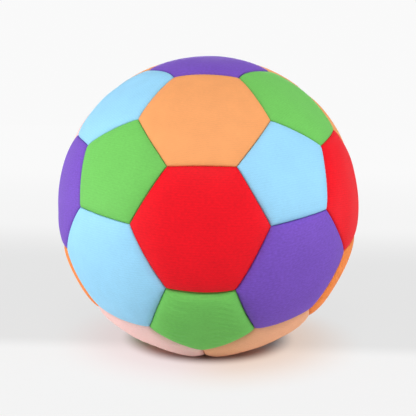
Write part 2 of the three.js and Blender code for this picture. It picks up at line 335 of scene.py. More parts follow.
class SewingPattern:
    """The 32 places of the cover, and which node stands at each."""

    def __init__(self, ball: Ball) -> None:
        """Works out the axes of the truncated icosahedron, leaned until a hexagon faces the front.

        The pentagons' axes are the corners of an icosahedron, whose neighbours have a cosine of one
        over the root of five. A hexagon's axis is the mean of three neighbours.

        Args:
            ball: the ball.
        """
        self.ball = ball
        lean = -math.atan(1 / GOLDEN ** 2)
        upright = np.array([[1, 0, 0], [0, math.cos(lean), -math.sin(lean)],
                            [0, math.sin(lean), math.cos(lean)]])
        corners = [(a, b * GOLDEN, 0.0) for a in (-1, 1) for b in (-1, 1)]
        solid = np.array([np.roll(corner, shift) for shift in range(3) for corner in corners])
        pentagons = unit(solid) @ upright.T
        nearly_next = 1 / math.sqrt(5) - 0.01
        near = pentagons @ pentagons.T > nearly_next
        triples = [(a, b, c) for a in range(12) for b in range(a + 1, 12) for c in range(b + 1, 12)
                   if near[a, b] and near[b, c] and near[a, c]]
        hexagons = unit(np.array([pentagons[list(triple)].sum(axis=0) for triple in triples]))
        flat_reach = math.acos(np.partition(hexagons @ hexagons[0], -2)[-2]) / 2
        point_reach = math.acos((pentagons @ hexagons[0]).max()) - flat_reach
        self.hexagon = Outline(6, flat_reach)
        self.pentagon = Outline(5, point_reach)
        self.hexagon_places = [self.place(self.hexagon, axis, pentagons) for axis in hexagons]
        self.pentagon_places = [self.place(self.pentagon, axis, hexagons) for axis in pentagons]

    @staticmethod
    def place(outline: Outline, axis: np.ndarray, others: np.ndarray) -> Place:
        """A panel's place, with +X turned towards the nearest axis among the others.

        Args:
            outline: the panel's outline.
            axis: the panel's axis.
            others: the axes of the panels of the other kind.

        Returns:
            The place.
        """
        sideward = others[np.argmax(np.round(others @ axis, 6))]
        across = unit(sideward - axis * (sideward @ axis))
        return Place(outline, np.stack([across, np.cross(axis, across), axis], axis=1))

    def find(self, node: str) -> Place:
        """The place whose axis points at the middle of a CAD node.

        Args:
            node: the panel's CAD node, whose name starts with its kind.

        Returns:
            Its place.
        """
        toward = node_points(node).mean(axis=0) - self.ball.middle
        places = self.hexagon_places if node.startswith("hexagon") else self.pentagon_places
        return max(places, key=lambda place: float(place.turn[:, 2] @ toward))

    def seams(self) -> tuple[np.ndarray, np.ndarray]:
        """The 90 seams. Each lies beside a hexagon, and one between two hexagons is kept once.

        Returns:
            The direction of each seam's middle, and the direction that the seam runs in.
        """
        middles = np.concatenate([self.hexagon.middles @ place.turn.T for place in self.hexagon_places])
        runs = np.concatenate([self.hexagon.tangents @ place.turn.T for place in self.hexagon_places])
        _, first = np.unique(np.round(middles, 5) + 0.0, axis=0, return_index=True)
        return middles[first], runs[first]


@dataclass(frozen=True)
class Spot:
    """A spot on the ball, by its direction from the middle. A higher power makes it smaller."""

    toward: tuple[float, float, float]
    power: int

    def near(self, directions: np.ndarray) -> np.ndarray:
        """1 on the spot, fading to 0 round it as the cosine of the angle to it, to the power."""
        return np.maximum(directions @ unit(np.array(self.toward)), 0.0) ** self.power


@dataclass(frozen=True)
class SewingDrift:
    """How hand sewing pulls the seams away from the regular pattern, alike for all pieces.

    With x and z as shares of the ball's radius, a point moves sideways by
    spread x^3 - swing x z - gather x^4 - squeeze x z^2 - lean x^3 z, and upwards by
    lift x^2 - press z^2 + tilt x, plus a few small slow waves. The left flank droops by droop x^10,
    and the top pentagon flares sideways by flare x behind the ball's crown. Round one spot low on
    the left the cover is pulled backwards by low_wrap, round two high ones at the sides it is
    pulled by high_wrap, low in front it hangs by sag, and round another spot low on the left it
    lies flatter by slump. Away from that last spot a point keeps its radius. The drift dies away
    towards the valve, whose panel is cut round the stem.
    """

    spread: float = 5.8 * MM
    swing: float = 7.1 * MM
    gather: float = 5.2 * MM
    squeeze: float = 3.3 * MM
    lean: float = 18.3 * MM
    lift: float = 6.7 * MM
    press: float = 11.1 * MM
    tilt: float = 0.3 * MM
    droop: float = 18.2 * MM
    flare: float = 26.0 * MM
    flare_top: tuple[float, float] = (0.76, 0.90)
    flare_rear: tuple[float, float] = (-0.44, -0.14)
    low_wrap: float = 9.0 * MM
    low_wrap_spot: Spot = Spot((-0.857, -0.10, -0.505), 16)
    high_wrap: float = -19.0 * MM
    high_wrap_spot: Spot = Spot((0.60, 0.25, 0.76), 10)
    sag: float = 3.0 * MM
    sag_spot: Spot = Spot((0.0, -0.89, -0.45), 10)
    slump: float = 3.2 * MM
    slump_spot: Spot = Spot((-0.62, 0.25, -0.74), 16)
    calm_from: float = 0.80
    calm_to: float = 0.96
    waver: float = 0.22 * MM
    waver_length: float = 38 * MM
    waver_count: int = 5
    seed: int = 11

    def apply(self, points: np.ndarray, ball: Ball) -> np.ndarray:
        """Moves points as the sewing does.

        Args:
            points: the points, from the ball's middle.
            ball: the ball.

        Returns:
            The moved points.
        """
        radius = np.linalg.norm(points, axis=1, keepdims=True)
        direction = points / radius
        x, y, z = direction.T
        sideways = (self.spread * x ** 3 - self.swing * x * z - self.gather * x ** 4
                    - self.squeeze * x * z * z - self.lean * x ** 3 * z)
        upwards = (self.lift * x * x - self.press * z * z + self.tilt * x
                   - self.droop * np.maximum(-x, 0.0) ** 10)
        (low, high), (front, rear) = self.flare_top, self.flare_rear
        crest = smooth_step((z - low) / (high - low)) * smooth_step((y - front) / (rear - front))
        sideways += self.flare * x * crest
        mirrored = np.stack([np.abs(x), y, z], axis=1)
        backwards = (self.low_wrap * self.low_wrap_spot.near(direction)
                     + self.high_wrap * self.high_wrap_spot.near(mirrored))
        upwards -= self.sag * self.sag_spot.near(direction)
        shift = np.stack([sideways, backwards, upwards], axis=1)
        rng = np.random.default_rng(self.seed)
        for _ in range(self.waver_count):
            wave = unit(rng.normal(size=3)) * 2 * math.pi * ball.radius / self.waver_length
            push = unit(rng.normal(size=3)) * self.waver
            shift += np.sin(direction @ wave + rng.uniform(0, 2 * math.pi))[:, None] * push
        calm = 1 - smooth_step((y - self.calm_from) / (self.calm_to - self.calm_from))
        slump = self.slump * self.slump_spot.near(direction)[:, None]
        return unit(direction * ball.radius + shift * calm[:, None]) * (radius - slump)


# The cover

@dataclass(frozen=True)
class CoverSizes:
    """Sizes that all panels share.

    The gap between panels closes within gap_fade rolls of the seam. The edge's bends are shares of
    its splay and depth, and edge_round is a share of the laminate. The stem of the valve is measured
    over stem_top from its end.
    """

    laminate: float = 3.0 * MM
    seam_gap: float = 0.1 * MM
    crown: float = 0.7 * MM
    shoulder_drop: float = 0.8 * MM
    shoulder_reach: float = 3.0 * MM
    roll: float = 0.75 * MM
    allowance_depth: float = 5.0 * MM
    allowance_splay: float = 1.6 * MM
    stitch_pitch: float = 3.0 * MM
    pucker_depth: float = 0.14 * MM
    pucker_reach: float = 1.3 * MM
    hole_edge_round: float = 0.8 * MM
    hole_clearance: float = 0.3 * MM
    gap_fade: float = 3.0
    edge_bends: tuple[tuple[float, float], ...] = ((0.2, 0.5), (0.5, 0.7))
    edge_round: float = 0.25
    stem_top: float = 2.0 * MM

    def seam_radius(self, ball: Ball) -> float:
        """Radius of the line where a panel meets its neighbours."""
        return ball.radius - self.crown - self.shoulder_drop - self.roll


@dataclass(frozen=True)
class GridSizes:
    """How fine the panels' grids are."""

    core_steps: int = 34
    roll_steps: int = 7
    roll_share: float = 0.032
    inner_shares: tuple[float, ...] = (0.3, 0.5, 0.7, 0.9)
    lip_steps: int = 5

    def steps(self) -> np.ndarray:
        """Steps of a panel's grid: even ones, then on the roll ones that follow a cosine.

        Returns:
            Values from 0 at the axis to 1 at the seams.
        """
        core = np.linspace(0, 1 - self.roll_share, self.core_steps + 1)
        angle = np.linspace(math.pi / 2, 0, self.roll_steps + 1)[1:]
        return np.concatenate([core, 1 - self.roll_share * (1 - np.cos(angle))])


@dataclass(frozen=True)
class PressedCloth:
    """Cloth simulation of one cut pattern, pinned along its seams and blown up from inside.

    Only the form of the swell is kept: each panel gives it the height of its own crown, and limit is
    the most of that height which the smooth fit may reach.
    """

    steps_per_kite: int = 10
    solver_scale: float = 10.0
    pressure: float = 4.0
    quality: int = 8
    mass: float = 0.3
    stretch_stiffness: float = 40.0
    shear_stiffness: float = 20.0
    bending_stiffness: float = 2.0
    frames: int = 20
    degree: int = 8
    limit: float = 1.05

    def terms(self, outline: Outline, directions: np.ndarray) -> np.ndarray:
        """Products of powers of x and y, in shares of the corner's distance from the axis.

        Args:
            outline: the panel's outline.
            directions: directions about +Z.

        Returns:
            One row for each direction, and one column for each product.
        """
        flat = directions[:, :2] / np.linalg.norm(outline.corners[0, :2])
        x, y = flat[:, 0], flat[:, 1]
        powers = [(a, b) for a in range(self.degree + 1) for b in range(self.degree + 1 - a)]
        return np.stack([x ** a * y ** b for a, b in powers], axis=1)

    def rise(self, outline: Outline, ball: Ball) -> np.ndarray:
        """Fits the swell of a panel, which is 1 at its highest and 0 at its seams.

        Args:
            outline: the panel's outline.
            ball: the ball.

        Returns:
            The weights of the terms, by least squares.
        """
        steps = np.linspace(0, 1, self.steps_per_kite + 1)
        directions, quads, border = outline.kites(steps)
        swell = self.simulate(outline, ball, directions, quads, border)
        swell = swell / swell.max()
        terms = self.terms(outline, directions)
        return np.linalg.lstsq(terms, swell, rcond=None)[0]

    def simulate(self, outline: Outline, ball: Ball, directions: np.ndarray, quads: np.ndarray,
                 border: np.ndarray) -> np.ndarray:
        """How far each point of the face stands out after the simulation.

        The face and a copy of it further in make a closed pad. Only the face's inner points are free.

        Args:
            outline: the panel's outline.
            ball: the ball.
            directions: directions of the face's points.
            quads: the face's quads.
            border: the numbers of the points on the seams.

        Returns:
            The swell of each point, in metres.
        """
        scale = self.solver_scale
        depth = 1 - 2 * CoverSizes.laminate / ball.radius
        face = directions * ball.radius * scale
        count = len(face)
        rim = loop_strip(np.stack([border, border + count]))
        points = np.concatenate([face, face * depth])
        pad = make_object("pattern_pad", points, [quads, quads[:, ::-1] + count, rim])
        free = np.ones(2 * count, bool)
        free[border] = False
        free[count:] = False
        pins = pad.vertex_groups.new(name="pins")
        pins.add(np.flatnonzero(~free).tolist(), 1.0, "REPLACE")

        cloth = pad.modifiers.new("cloth", "CLOTH")
        settings = {
            "quality": self.quality,
            "mass": self.mass,
            "tension_stiffness": self.stretch_stiffness,
            "compression_stiffness": self.stretch_stiffness,
            "shear_stiffness": self.shear_stiffness,
            "bending_stiffness": self.bending_stiffness,
            "use_pressure": True,
            "uniform_pressure_force": self.pressure,
            "vertex_group_mass": pins.name,
        }
        for name, value in settings.items():
            setattr(cloth.settings, name, value)
        cloth.settings.effector_weights.gravity = 0
        cloth.collision_settings.use_collision = False
        cloth.point_cache.frame_start = 1
        cloth.point_cache.frame_end = self.frames
        scene = bpy.context.scene
        for number in range(1, self.frames + 1):
            scene.frame_set(number)
        settled = pad.evaluated_get(bpy.context.evaluated_depsgraph_get())
        radius = np.linalg.norm(mesh_points(settled)[:count], axis=1) / scale
        scene.frame_set(1)
        bpy.data.objects.remove(pad)
        swell = np.maximum(radius - ball.radius, 0.0)
        log.info("cloth with %d sides swells by %.2f mm", outline.sides, swell.max() / MM)
        return swell


@dataclass(frozen=True)
class Unevenness:
    """How panels differ from each other: in crown, grain, dents and ripples, and in painted light.

    Only panels that face down have ripples, because the ball's weight slackens their cloth. How slack
    it is, from 0 to 1, is a smooth step of slack_gain times how far the panel faces down, less
    slack_offset. Dents fade within dent_fade shoulders of the seam. A listed panel is painted as more
    brightly lit, as painted light: its colour is mixed with white by the given share.
    """

    seed: int = 100
    slack_gain: float = 3.0
    slack_offset: float = 0.9
    dent_fade: float = 3.0
    crown_spread: float = 0.12
    grain_spread: float = math.radians(5)
    dent: float = 0.07 * MM
    dent_length: float = 24 * MM
    dent_count: int = 4
    ripple: float = 0.14 * MM
    ripple_length: float = 3.8 * MM
    ripple_bend: float = 2.5 * MM
    ripple_bend_length: float = 31 * MM
    # painted light: the share of white that makes each listed panel look more brightly lit
    painted_light_shares: tuple[tuple[str, float], ...] = (("hexagon_base_right", 0.16),)


@dataclass
class SlackSeams:
    """Low on the front, the ball's weight slackens the cover and its seams lie deeper."""

    extra_drop: float = 2.2 * MM
    facing: tuple[float, float, float] = (0.22, -0.83, -0.51)
    start: float = 0.68
    end: float = 0.92

    def at(self, directions: np.ndarray) -> np.ndarray:
        """How much deeper a seam lies in each direction from the ball's middle."""
        share = (directions @ unit(np.array(self.facing)) - self.start) / (self.end - self.start)
        return self.extra_drop * smooth_step(share)


class CoverPanel:
    """One padded panel: crowned face, rolled shoulders, turned-in edge and inner face."""

    def __init__(self, node: str, place: Place, ball: Ball, swell: np.ndarray, drift: SewingDrift,
                 number: int) -> None:
        """Takes the panel's place and draws its unevenness.

        Args:
            node: the CAD node that it stands for.
            place: its outline and turn.
            ball: the ball.
            swell: weights of the cloth's swell on this outline.
            drift: the drift of the sewing.
            number: its number in the cover, which seeds its unevenness.
        """
        self.node = node
        self.place = place
        self.outline = place.outline
        self.ball = ball
        self.swell = swell
        self.drift = drift
        self.sizes = CoverSizes()
        self.slack_seams = SlackSeams()
        self.cloth = PressedCloth()
        self.grid = GridSizes()
        self.steps = self.grid.steps()
        uneven = Unevenness()
        rng = np.random.default_rng(uneven.seed + number)
        self.crown = self.sizes.crown * (1 + rng.uniform(-1, 1) * uneven.crown_spread)
        self.grain = rng.normal() * uneven.grain_spread
        self.dents = unit(rng.normal(size=(uneven.dent_count, 3)))
        self.dents *= 2 * math.pi * ball.radius / uneven.dent_length
        self.dent_phase = rng.uniform(0, 2 * math.pi, uneven.dent_count)
        self.uneven = uneven
        facing_down = -place.turn[2, 2]
        slack = facing_down * uneven.slack_gain - uneven.slack_offset
        self.slack = float(smooth_step(np.array(slack)))

    def corner_inset(self, directions: np.ndarray) -> np.ndarray:
        """Inset from the outline as a whole, rounded at corners, in metres.

        With a and b the insets from the two nearest seams, this is a + b less the cube root of the
        sum of their cubes, so it is 0 on each seam and about the smaller inset elsewhere.

        Args:
            directions: directions about +Z.

        Returns:
            The inset of each.
        """
        nearest = np.sort(self.outline.insets(directions), axis=1)[:, :2] * self.ball.radius
        nearest = np.maximum(nearest, 0.0)
        return nearest.sum(axis=1) - np.cbrt((nearest ** 3).sum(axis=1))

    def face_radius(self, directions: np.ndarray) -> np.ndarray:
        """Radius of the face: ball radius, less what the crown, shoulder, roll and stitches take.

        The roll is a quarter circle of inset and depth, and the shoulder dies away with the inset
        as an exponential. Dents are small waves that fade at the seams, and each stitch pulls a
        small pucker into the edge.

        Args:
            directions: directions about +Z.

        Returns:
            The radius at each.
        """
        sizes = self.sizes
        inset = self.corner_inset(directions)
        swell = self.cloth.terms(self.outline, directions) @ self.swell
        crown = self.crown * np.clip(swell, 0.0, self.cloth.limit)
        drop = sizes.shoulder_drop + self.slack_seams.at(directions @ self.place.turn.T)
        shoulder = drop * np.exp(-inset / sizes.shoulder_reach)
        over = 1 - np.clip(inset / sizes.roll, 0.0, 1.0)
        roll = sizes.roll * (1 - np.sqrt(1 - over ** 2))
        waves = np.sin(directions @ self.dents.T + self.dent_phase).sum(axis=1)
        dents = self.uneven.dent * waves + self.ripples(directions)
        dents *= smooth_step(inset / (self.uneven.dent_fade * sizes.shoulder_reach))
        base = self.ball.radius - sizes.crown
        return base + crown - shoulder - roll + dents - self.puckers(directions)

    def ripples(self, directions: np.ndarray) -> np.ndarray:
        """Height of the ripples: level sine waves, bent by a slower one, that fade in and out.

        Args:
            directions: directions about +Z.

        Returns:
            The height at each.
        """
        uneven = self.uneven
        level = np.array([-self.place.turn[2, 1], self.place.turn[2, 0], 0.0])
        across = directions @ level * self.ball.radius
        up = directions @ self.place.turn[2] * self.ball.radius
        bend = uneven.ripple_bend * np.sin(2 * math.pi * across / uneven.ripple_bend_length)
        wave = np.sin(2 * math.pi * (up + bend) / uneven.ripple_length)
        patch = smooth_step(0.5 + np.sin(directions @ self.dents[0] + self.dent_phase[0]))
        return self.slack * uneven.ripple * wave * patch

    def puckers(self, directions: np.ndarray) -> np.ndarray:
        """Depth of the puckers: a squared cosine along each seam, which dies away with the inset.

        Args:
            directions: directions about +Z.

        Returns:
            The depth at each.
        """
        sizes = self.sizes
        away = self.outline.insets(directions) * self.ball.radius
        along = self.outline.along(directions) * self.ball.radius
        pull = np.cos(math.pi * along / sizes.stitch_pitch) ** 2
        pull *= np.exp(-np.maximum(away, 0) / sizes.pucker_reach)
        return sizes.pucker_depth * pull.sum(axis=1)

    def face_points(self, directions: np.ndarray) -> np.ndarray:
        """Points of the face, drawn back from the seam planes by half the gap between panels.

        Args:
            directions: directions about +Z.

        Returns:
            The points, from the ball's middle.
        """
        sizes = self.sizes
        points = directions * self.face_radius(directions)[:, None]
        away = self.outline.insets(directions) * self.ball.radius
        fade = np.maximum(1 - away / (sizes.gap_fade * sizes.roll), 0.0) ** 2
        return points + sizes.seam_gap / 2 * fade @ self.outline.inward

    def edge_rows(self) -> list[np.ndarray]:
        """The turned-in edge: down along the seam, round its end and up to the inner face.

        Returns:
            Its rows of points, each the outline at one inset and one radius.
        """
        sizes = self.sizes
        gap = sizes.seam_gap / 2
        top = sizes.seam_radius(self.ball)
        end = top - sizes.allowance_depth
        inside = self.ball.radius - sizes.crown - sizes.laminate
        out = gap + sizes.allowance_splay
        back = out + sizes.laminate
        soft = sizes.laminate * sizes.edge_round
        profile = [
            *((gap + sizes.allowance_splay * splay, top - sizes.allowance_depth * depth)
              for splay, depth in sizes.edge_bends),
            (out, end + soft),
            (out + soft, end),
            (back - soft, end),
            (back, end + soft),
            (gap + sizes.laminate + soft, inside - 2 * soft),
            (gap + sizes.laminate + 2 * soft, inside - soft),
        ]
        return [self.outline.outline_row(self.steps, inset, radius) for inset, radius in profile]

    def inner_rows(self, shares: tuple[float, ...]) -> list[np.ndarray]:
        """The inner face, which lies one laminate under the outer one.

        Args:
            shares: how far in each row lies, from 0 at the seams to 1 at the axis.

        Returns:
            Its rows of points.
        """
        depth = self.ball.radius * math.sin(self.outline.reach)
        rows = []
        for share in shares:
            row = unit(self.outline.outline_row(self.steps, share * depth, self.ball.radius))
            rows.append(row * (self.face_radius(row) - self.sizes.laminate)[:, None])
        return rows

    def build(self) -> bpy.types.Object:
        """Makes the closed panel: a grid of kites for the face, then rows down and back inside.

        Returns:
            The panel's object.
        """
        directions, quads, border = self.outline.kites(self.steps)
        face = self.face_points(directions)
        rows = self.edge_rows() + self.inner_rows(self.grid.inner_shares)
        axis_radius = self.face_radius(UP[None])[0] - self.sizes.laminate
        points = np.concatenate([face, *rows, UP[None] * axis_radius])
        numbers = len(face) + np.arange(len(rows) * len(border)).reshape(len(rows), -1)
        strip = loop_strip(np.concatenate([border[None], numbers]))
        last = numbers[-1]
        tip = np.full(len(last), len(points) - 1)
        fan = np.stack([last, tip, np.roll(last, -1)], axis=1)
        inner = np.zeros(len(points), bool)
        inner[len(face):] = True
        return self.assemble(points, [quads, strip, fan], inner)

    def assemble(self, points: np.ndarray, polygons: list[np.ndarray],
                 inner: np.ndarray) -> bpy.types.Object:
        """Turns, drifts and stands the panel's points, and makes the object with its knit map.

        Args:
            points: the panel's points about +Z, from the ball's middle.
            polygons: its faces.
            inner: which points belong to the turned-in edge and the inner face.

        Returns:
            The panel's object.
        """
        world = self.drift.apply(points @ self.place.turn.T, self.ball) + self.ball.middle
        floor = np.where(inner, self.sizes.laminate, 0.0)
        world[:, 2] = np.maximum(world[:, 2], floor)
        obj = make_object(self.node + "_knit", world, polygons)
        self.add_knit_map(obj, points)
        self.add_layers(obj, points)
        return obj

    def add_knit_map(self, obj: bpy.types.Object, points: np.ndarray) -> None:
        """Adds the UV map "knit": metres across and along the wales, which run up the panel.

        The map is the direction's angle from the panel's axis times the ball's radius, turned until
        its second axis points up in the world, give or take the panel's own grain. A panel that
        lies almost level has no upward side, and isn't turned.

        Args:
            obj: the panel's object.
            points: its points about +Z, from the ball's middle.
        """
        smallest_flat = 1e-9
        almost_level = 0.05
        directions = unit(points)
        flat = np.hypot(directions[:, 0], directions[:, 1])
        angle = np.arctan2(flat, directions[:, 2])
        stretch = angle / np.maximum(flat, smallest_flat) * self.ball.radius
        place = directions[:, :2] * stretch[:, None]
        upward = self.place.turn[2, :2]
        heading = math.atan2(upward[1], upward[0]) if np.hypot(*upward) > almost_level else 0.0
        turn = math.pi / 2 - heading + self.grain
        spin = np.array([[math.cos(turn), math.sin(turn)], [-math.sin(turn), math.cos(turn)]])
        corner = np.empty(len(obj.data.loops), np.int32)
        obj.data.loops.foreach_get("vertex_index", corner)
        layer = obj.data.uv_layers.new(name="knit")
        layer.data.foreach_set("uv", (place @ spin)[corner].ravel())

    def add_layers(self, obj: bpy.types.Object, points: np.ndarray) -> None:
        """Adds the attributes "inset", metres from the nearest seam, and "pale", the share of white as
        painted light.

        Args:
            obj: the panel's object.
            points: its points about +Z, from the ball's middle.
        """
        # painted light: this panel's share of white, which makes it look more brightly lit
        pale = dict(self.uneven.painted_light_shares).get(self.node, 0.0)
        for name, values in (("inset", self.corner_inset(unit(points))),
                             ("pale", np.full(len(points), pale))):
            layer = obj.data.attributes.new(name, "FLOAT", "POINT")
            layer.data.foreach_set("value", values.astype(np.float32))


class ValvePanel(CoverPanel):
    """The panel with the valve hole, whose edge is rounded down round the stem."""

    @property
    def hole_radius(self) -> float:
        """Radius of the hole.

        Returns:
            The radius of the valve's stem near its end, and the clearance round it.
        """
        points = self.place.local("valve_housing", self.ball)
        top = points[points[:, 2] > points[:, 2].max() - self.sizes.stem_top]
        return float(np.hypot(top[:, 0], top[:, 1]).max()) + self.sizes.hole_clearance

    def build(self) -> bpy.types.Object:
        """Makes the closed panel from rings: face, turned-in edge, inner face, hole wall and lip.

        A ring of the face is the mean of the hole's edge and the seams, weighted by its step. The
        lip is a quarter circle from the hole's wall to the face.

        Returns:
            The panel's object.
        """
        sizes = self.sizes
        hole = self.hole_radius
        border = unit(self.outline.outline_row(self.steps, 0.0, self.ball.radius))
        bearing = np.arctan2(border[:, 1], border[:, 0])
        edge = unit(cone(bearing, hole + sizes.hole_edge_round, self.ball.radius))
        face = [self.face_points(unit((1 - step) * edge + step * border)) for step in self.steps]
        height = face[0][:, 2].mean()
        lip = [cone(bearing, hole + sizes.hole_edge_round * (1 - math.sin(angle)),
                    height - sizes.hole_edge_round * (1 - math.cos(angle)))
               for angle in np.linspace(math.pi / 2, 0, self.grid.lip_steps + 1)[:-1]]
        wall = cone(bearing, hole, height - sizes.laminate)
        inner = self.inner_rows(self.grid.inner_shares[:-1])
        grid = np.stack([*face, *self.edge_rows(), *inner, wall, *lip])
        numbers = np.arange(grid.shape[0] * grid.shape[1]).reshape(grid.shape[:2])
        inside = np.zeros(numbers.size, bool)
        inside[numbers[len(face):].ravel()] = True
        closed = np.concatenate([numbers, numbers[:1]])
        return self.assemble(grid.reshape(-1, 3), [loop_strip(closed)], inside)


@dataclass
class Cover:
    """All 32 panels."""

    ball: Ball
    pattern: SewingPattern
    drift: SewingDrift
    fill: float = 0.9

    def build(self) -> None:
        """Simulates the two cut patterns, then makes and dresses each panel of the record."""
        cloth = PressedCloth()
        swells = {6: cloth.rise(self.pattern.hexagon, self.ball),
                  5: cloth.rise(self.pattern.pentagon, self.ball)}
        group = knit_group()
        finishes = {finish.slot.value: knit_material(finish, group) for finish in KNIT_FINISHES}
        panels = [part for part in frame["record"]["subparts"]
                  if part["material_slot"] in finishes]
        for number, part in enumerate(panels):
            node = part["node"]
            place = self.pattern.find(node)
            kind = ValvePanel if node == VALVE_NODE else CoverPanel
            panel = kind(node, place, self.ball, swells[place.outline.sides], self.drift, number)
            piece = panel.build()
            finish_piece(piece, node, finishes[part["material_slot"]])


# Thread

@dataclass
class SeamThread:
    """The thread of all 90 seams: a straight strand under each seam and one wound round it."""

    ball: Ball
    pattern: SewingPattern
    drift: SewingDrift
    straight_diameter: float = 0.8 * MM
    wound_diameter: float = 0.55 * MM
    wound_rise: float = 1.0 * MM
    wound_width: float = 0.9 * MM
    depth: float = 1.1 * MM
    steps_per_turn: int = 9
    straight_steps: int = 16
    sides: int = 5

    def tubes(self, paths: np.ndarray, outward: np.ndarray, diameter: float) -> tuple:
        """Closed tubes along many paths at once: a ring round each point, and a fan at each end.

        Args:
            paths: points, as paths by steps by 3.
            outward: direction from the ball's middle at each point.
            diameter: the tubes' diameter.

        Returns:
            Their points, quads and end triangles.
        """
        tangent = unit(np.gradient(paths, axis=1))
        across = unit(np.cross(outward, tangent))
        over = np.cross(tangent, across)
        angle = np.arange(self.sides) * 2 * math.pi / self.sides
        ring = (np.cos(angle)[:, None] * across[:, :, None, :]
                + np.sin(angle)[:, None] * over[:, :, None, :])
        rings = paths[:, :, None, :] + diameter / 2 * ring
        count, length = paths.shape[:2]
        numbers = np.arange(rings.size // 3).reshape(count, length, self.sides)
        near, far = numbers[:, :-1], numbers[:, 1:]
        quads = np.stack([near, np.roll(near, -1, 2), np.roll(far, -1, 2), far], axis=-1)
        ends = np.concatenate([numbers[:, 0, ::-1], numbers[:, -1]])
        return rings.reshape(-1, 3), quads.reshape(-1, 4), ends

    def build(self) -> bpy.types.Object:
        """Makes one object of all the tubes.

        The wound strand goes round the straight one as an ellipse, one turn for each stitch. Its top
        crosses the bottom of the groove, and its sides run inside the panels' edges.

        Returns:
            The thread's object.
        """
        sizes = CoverSizes()
        middles, runs = self.pattern.seams()
        walls = np.cross(middles, runs)
        half = self.pattern.hexagon.half_side
        core = sizes.seam_radius(self.ball) - self.depth
        turns = 2 * half * self.ball.radius / sizes.stitch_pitch
        steps = int(turns * self.steps_per_turn)
        blocks = []
        for count, diameter, wide, high in (
            (self.straight_steps, self.straight_diameter, 0.0, 0.0),
            (steps, self.wound_diameter, self.wound_width, self.wound_rise),
        ):
            angle = np.linspace(-half, half, count)[None, :, None]
            outward = np.cos(angle) * middles[:, None] + np.sin(angle) * runs[:, None]
            phase = 2 * math.pi * angle * self.ball.radius / sizes.stitch_pitch
            deep = core - SlackSeams().at(outward)[..., None]
            paths = outward * (deep + high * np.cos(phase)) + walls[:, None] * wide * np.sin(phase)
            blocks.append(self.tubes(paths, outward, diameter))
        straight, wound = blocks
        offset = len(straight[0])
        points = np.concatenate([straight[0], wound[0]])
        quads = np.concatenate([straight[1], wound[1] + offset])
        ends = np.concatenate([straight[2], wound[2] + offset])
        world = self.drift.apply(points, self.ball) + self.ball.middle
        return make_object("seam_thread_sewn", world, [quads, ends])


# Bladder

@dataclass
class Bladder:
    """The rubber bladder, which bulges into the hollow of each panel and dips under each seam."""

    ball: Ball
    pattern: SewingPattern
    drift: SewingDrift
    wall: float = 1.0 * MM
    clearance: float = 0.3 * MM
    steps_per_kite: int = 12
    valley_depth: float = 8.6 * MM
    valley_reach: float = 6.5 * MM
    seat_depth: float = 3.5 * MM
    seat_radius: float = 13.9 * MM
    seat_blend: float = 6.0 * MM
    hole_radius: float = 5.4 * MM
    weld: float = 0.01 * MM

    def skin(self, place: Place, depth: float, cut: bool) -> tuple[np.ndarray, np.ndarray]:
        """One panel's share of a face of the bladder.

        Under a seam it dips by the valley's depth, which dies away with the inset as a bell curve.
        Round the valve it lies lower by the seat's depth, and rises again by a smooth step.

        Args:
            place: the panel's place.
            depth: how far the face lies under the bladder's outer one.
            cut: whether the valve's hole goes through it.

        Returns:
            Its points and quads.
        """
        outline = place.outline
        steps = np.linspace(0, 1, self.steps_per_kite + 1)
        directions, quads, border = outline.kites(steps)
        if cut:
            ring = unit(outline.outline_row(steps, 0.0, self.ball.radius))
            bearing = np.arctan2(ring[:, 1], ring[:, 0])
            edge = unit(cone(bearing, self.hole_radius / self.ball.radius, 1.0))
            rows = [unit((1 - step) * edge + step * ring) for step in steps]
            directions = np.concatenate(rows)
            numbers = np.arange(len(directions)).reshape(len(rows), -1)
            quads = loop_strip(numbers)
        inset = np.maximum(outline.insets(directions).min(axis=1), 0.0) * self.ball.radius
        under = self.ball.radius - CoverSizes.laminate - self.clearance
        valley = self.valley_depth * np.exp(-(inset / self.valley_reach) ** 2)
        radius = under - CoverSizes.crown - valley - depth
        if cut:
            reach = np.arccos(np.clip(directions[:, 2], -1, 1)) * self.ball.radius
            risen = smooth_step((reach - self.seat_radius) / self.seat_blend)
            radius -= self.seat_depth * (1 - risen)
        return (directions * radius[:, None]) @ place.turn.T, quads

    def build(self) -> bpy.types.Object:
        """Makes the shell: the outer skins, the inner ones turned round, and the hole's wall.

        Returns:
            The bladder's object.
        """
        valve = self.pattern.find(VALVE_NODE)
        points, quads = [], []
        total = 0
        for depth in (0.0, self.wall):
            for place in self.pattern.hexagon_places + self.pattern.pentagon_places:
                patch, faces = self.skin(place, depth, place is valve)
                points.append(patch)
                quads.append((faces if depth == 0 else faces[:, ::-1]) + total)
                total += len(patch)
        moved = self.drift.apply(np.concatenate(points), self.ball) + self.ball.middle
        obj = make_object("bladder_skin", moved, quads)
        work = bmesh.new()
        work.from_mesh(obj.data)
        bmesh.ops.remove_doubles(work, verts=work.verts, dist=self.weld)
        rims = [edge for edge in work.edges if edge.is_boundary]
        bmesh.ops.bridge_loops(work, edges=rims)
        work.to_mesh(obj.data)
        work.free()
        obj.data.polygons.foreach_set("use_smooth", np.ones(len(obj.data.polygons), bool))
        return obj


# Valve

